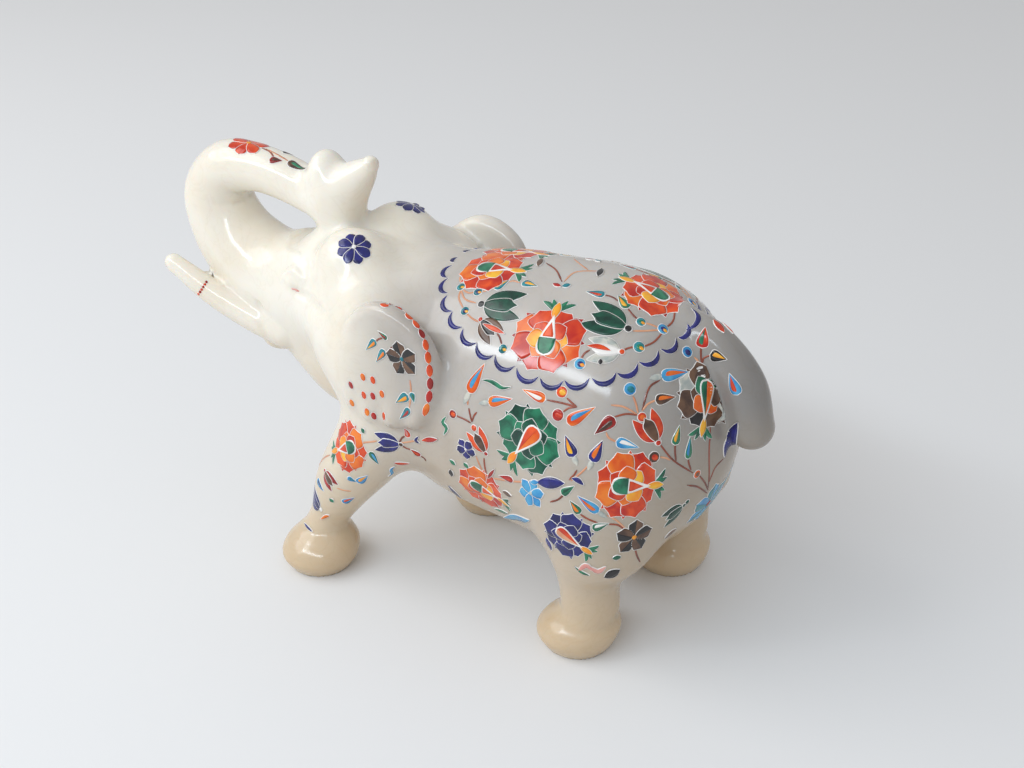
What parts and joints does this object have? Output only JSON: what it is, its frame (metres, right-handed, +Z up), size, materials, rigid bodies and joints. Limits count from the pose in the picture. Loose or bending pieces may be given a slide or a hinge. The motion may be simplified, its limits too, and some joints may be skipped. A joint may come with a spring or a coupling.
{
  "type": "marble inlay elephant statue",
  "caption": "Carved marble elephant walking with its trunk curled up, inlaid with a saddle cloth, flowers, buds and trailing stems of coloured stone.",
  "frame": {"origin": "middle of the bounding box at the level of the soles of the feet", "axes": "+Z up; the elephant faces -X, its left side is -Y; +X runs from trunk to tail"},
  "size_m": [0.2033, 0.0892, 0.1259],
  "materials": {
    "marble": "polished translucent cream-white marble, faintly clouded",
    "coral": "polished orange-red carnelian",
    "red": "polished deep red jasper",
    "orange": "polished orange carnelian",
    "amber": "polished honey-yellow agate",
    "malachite": "polished green malachite",
    "forest": "polished dark green stone",
    "lapis": "polished navy lapis lazuli",
    "sky": "polished sky-blue turquoise",
    "teal": "polished blue-green turquoise",
    "brown": "polished brown banded stone",
    "onyx": "polished black onyx",
    "pearl": "polished mother of pearl",
    "white": "polished white marble slip and setting",
    "pink": "polished pink stone",
    "peach": "fine peach-coloured stone line",
    "rust": "fine rust-red stone line"
  },
  "bodies": {
    "root": {"marble_elephant": "marble"}
  },
  "joints": []
}
